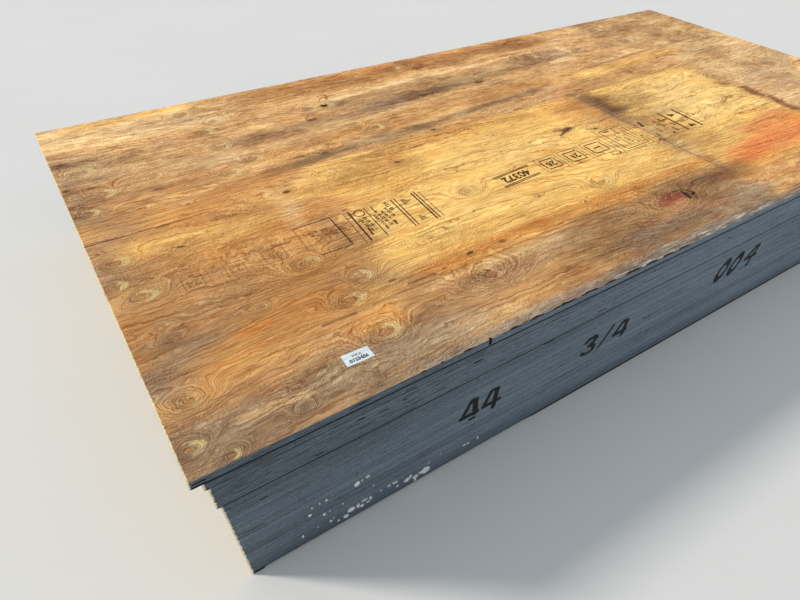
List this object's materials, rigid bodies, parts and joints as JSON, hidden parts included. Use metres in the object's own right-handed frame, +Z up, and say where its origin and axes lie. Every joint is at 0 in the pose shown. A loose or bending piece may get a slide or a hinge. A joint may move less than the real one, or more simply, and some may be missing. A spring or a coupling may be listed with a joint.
{
  "type": "stack of plywood sheets",
  "caption": "Part-used unit of full-size structural softwood plywood, stacked flat, with grey painted edges, number stencils and a weathered, knotty top face.",
  "frame": {"origin": "on the floor, at the middle of the stack's outline seen from above", "axes": "+X along the sheets' long side and their face grain, +Y across their width and away from the stencilled long edge, +Z up"},
  "size_m": [2.488, 1.2216, 0.3287],
  "materials": {
    "painted_edge_sheet": "raw softwood veneer, edges painted slate grey",
    "weathered_sheet": "raw rotary-cut softwood veneer, weathered, edges painted slate grey",
    "stamp_ink": "worn dark ink",
    "paper_label": "matt white coated paper"
  },
  "bodies": {
    "root": {"sheet_01": "painted_edge_sheet", "sheet_02": "painted_edge_sheet", "sheet_03": "painted_edge_sheet", "sheet_04": "painted_edge_sheet", "sheet_05": "painted_edge_sheet", "sheet_06": "painted_edge_sheet", "sheet_07": "painted_edge_sheet", "sheet_08": "painted_edge_sheet", "sheet_09": "painted_edge_sheet", "sheet_10": "painted_edge_sheet", "sheet_11": "painted_edge_sheet", "sheet_12": "painted_edge_sheet", "sheet_13": "painted_edge_sheet", "sheet_14": "painted_edge_sheet", "sheet_15": "painted_edge_sheet", "sheet_16": "painted_edge_sheet", "sheet_17": "painted_edge_sheet", "sheet_18": "weathered_sheet"}
  },
  "joints": []
}
